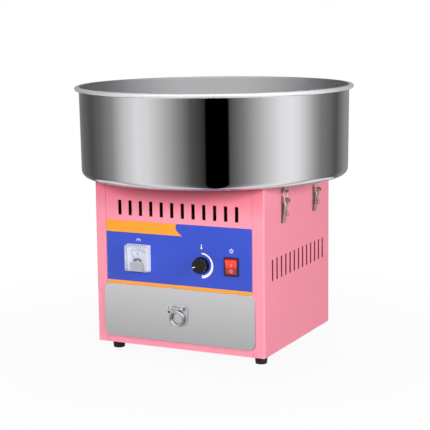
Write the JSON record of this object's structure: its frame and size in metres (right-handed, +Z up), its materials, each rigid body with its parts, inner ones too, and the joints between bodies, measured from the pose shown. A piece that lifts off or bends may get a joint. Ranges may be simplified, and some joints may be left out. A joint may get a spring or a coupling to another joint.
{
  "type": "candy floss machine",
  "caption": "Electric table-top candy floss machine: pink cabinet with a drawer and controls, a belt-driven heated spinner head and a lift-off stainless bowl on toggle latches.",
  "frame": {"origin": "on the ground under the middle of the cabinet and of the bowl", "axes": "+Z up, front with the controls towards -Y, +X to the right seen from the front"},
  "size_m": [0.52, 0.5199, 0.4903],
  "materials": {
    "pink_paint": "gloss powder coat",
    "stainless_polished": "mirror polished",
    "stainless_satin": "satin",
    "plated_steel": "zinc plated",
    "printed_film": "printed, blue with an orange edge",
    "black_plastic": "moulded",
    "black_rubber": "moulded",
    "meter_white": "moulded",
    "clear_cover": "clear moulding",
    "red_rocker": "translucent",
    "cast_aluminium": "turned and cast",
    "turned_steel": "turned",
    "brass_ring": "turned",
    "carbon": "pressed carbon",
    "phenolic": "moulded",
    "ceramic": "fired ceramic",
    "heater_alloy": "oxidised ribbon",
    "circuit_board": "printed circuit board with its parts"
  },
  "bodies": {
    "cabinet": {"side_panel_left": "pink_paint", "side_panel_right": "pink_paint", "front_panel": "pink_paint", "rear_panel": "pink_paint", "base_plate": "pink_paint", "top_deck": "stainless_satin", "control_overlay": "printed_film", "machine_screws": "plated_steel", "feet": "black_rubber", "drawer_runners": "plated_steel", "meter_case": "black_plastic", "meter_dial": "meter_white", "meter_pivot_cover": "black_plastic", "meter_lens": "clear_cover", "potentiometer": "plated_steel", "switch_body": "black_plastic", "regulator_board": "circuit_board", "heatsink": "cast_aluminium", "fuse_holder": "black_plastic", "cable_gland": "black_plastic", "motor_body": "cast_aluminium", "motor_plate": "plated_steel", "motor_bushes": "black_rubber", "drive_belt": "black_rubber", "bearing_housing": "cast_aluminium", "spindle_bearings": "turned_steel", "brush_holder": "phenolic", "carbon_brushes": "carbon", "latch_bases": "plated_steel"},
    "spinner": {"spindle": "turned_steel", "driven_pulley": "cast_aluminium", "slip_ring_hub": "phenolic", "slip_rings": "brass_ring", "head_base": "cast_aluminium", "heater_element": "heater_alloy", "heater_insulators": "ceramic", "mesh_band": "stainless_satin", "head_lid": "cast_aluminium", "head_fasteners": "plated_steel"},
    "motor_rotor": {"motor_shaft": "turned_steel", "motor_pulley": "cast_aluminium"},
    "knob": {"temperature_knob": "black_plastic", "potentiometer_shaft": "turned_steel"},
    "rocker": {"switch_rocker": "red_rocker"},
    "needle": {"meter_needle": "black_plastic"},
    "drawer": {"drawer_front": "stainless_satin", "drawer_tray": "stainless_satin", "pull_plate": "plated_steel"},
    "ring_pull": {"pull_ring": "plated_steel"},
    "bowl": {"bowl": "stainless_polished", "bowl_catches": "plated_steel"},
    "lever_front_left": {"latch_lever_front_left": "plated_steel"},
    "bail_front_left": {"latch_bail_front_left": "plated_steel"},
    "lever_rear_left": {"latch_lever_rear_left": "plated_steel"},
    "bail_rear_left": {"latch_bail_rear_left": "plated_steel"},
    "lever_front_right": {"latch_lever_front_right": "plated_steel"},
    "bail_front_right": {"latch_bail_front_right": "plated_steel"},
    "lever_rear_right": {"latch_lever_rear_right": "plated_steel"},
    "bail_rear_right": {"latch_bail_rear_right": "plated_steel"}
  },
  "joints": [
    {"name": "spinner_spin", "type": "hinge", "parent": "cabinet", "child": "spinner", "pos_m": [0, 0, 0.3], "axis": [0, 0, 1], "continuous": true},
    {"name": "motor_spin", "type": "hinge", "parent": "cabinet", "child": "motor_rotor", "pos_m": [0, 0.095, 0.24], "axis": [0, 0, 1], "continuous": true},
    {"name": "knob_turn", "type": "hinge", "parent": "cabinet", "child": "knob", "pos_m": [0.0485, -0.1569, 0.179], "axis": [0, 1, 0], "range_deg": [-30, 270]},
    {"name": "rocker_tilt", "type": "hinge", "parent": "cabinet", "child": "rocker", "pos_m": [0.107, -0.1554, 0.18], "axis": [-1, 0, 0], "range_deg": [0, 14]},
    {"name": "needle_swing", "type": "hinge", "parent": "cabinet", "child": "needle", "pos_m": [-0.08, -0.1614, 0.1718], "axis": [0, 1, 0], "range_deg": [0, 72], "stiffness_Nm_per_rad": 0.0001},
    {"name": "drawer_slide", "type": "slide", "parent": "cabinet", "child": "drawer", "axis": [0, -1, 0], "range_m": [0, 0.25]},
    {"name": "ring_pull_swing", "type": "hinge", "parent": "drawer", "child": "ring_pull", "pos_m": [0, -0.1638, 0.096], "axis": [-1, 0, 0], "range_deg": [0, 100]},
    {"name": "bowl_lift", "type": "slide", "parent": "cabinet", "child": "bowl", "axis": [0, 0, 1], "range_m": [0, 0.2]},
    {"name": "lever_front_left_open", "type": "hinge", "parent": "cabinet", "child": "lever_front_left", "pos_m": [-0.1795, -0.075, 0.291], "axis": [0, 1, 0], "range_deg": [0, 120]},
    {"name": "bail_front_left_swing", "type": "hinge", "parent": "lever_front_left", "child": "bail_front_left", "pos_m": [-0.17876, -0.075, 0.28253], "axis": [0, -1, 0], "range_deg": [0, 96]},
    {"name": "lever_rear_left_open", "type": "hinge", "parent": "cabinet", "child": "lever_rear_left", "pos_m": [-0.1795, 0.075, 0.291], "axis": [0, 1, 0], "range_deg": [0, 120]},
    {"name": "bail_rear_left_swing", "type": "hinge", "parent": "lever_rear_left", "child": "bail_rear_left", "pos_m": [-0.17876, 0.075, 0.28253], "axis": [0, -1, 0], "range_deg": [0, 96]},
    {"name": "lever_front_right_open", "type": "hinge", "parent": "cabinet", "child": "lever_front_right", "pos_m": [0.1795, -0.075, 0.291], "axis": [0, -1, 0], "range_deg": [0, 120]},
    {"name": "bail_front_right_swing", "type": "hinge", "parent": "lever_front_right", "child": "bail_front_right", "pos_m": [0.17876, -0.075, 0.28253], "axis": [0, 1, 0], "range_deg": [0, 96]},
    {"name": "lever_rear_right_open", "type": "hinge", "parent": "cabinet", "child": "lever_rear_right", "pos_m": [0.1795, 0.075, 0.291], "axis": [0, -1, 0], "range_deg": [0, 120]},
    {"name": "bail_rear_right_swing", "type": "hinge", "parent": "lever_rear_right", "child": "bail_rear_right", "pos_m": [0.17876, 0.075, 0.28253], "axis": [0, 1, 0], "range_deg": [0, 96]}
  ],
  "couplings": [
    {"joint": "motor_spin", "follows": "spinner_spin", "ratio": 1.4546},
    {"joint": "bail_front_left_swing", "follows": "lever_front_left_open", "ratio": 0.8},
    {"joint": "bail_rear_left_swing", "follows": "lever_rear_left_open", "ratio": 0.8},
    {"joint": "bail_front_right_swing", "follows": "lever_front_right_open", "ratio": 0.8},
    {"joint": "bail_rear_right_swing", "follows": "lever_rear_right_open", "ratio": 0.8}
  ]
}
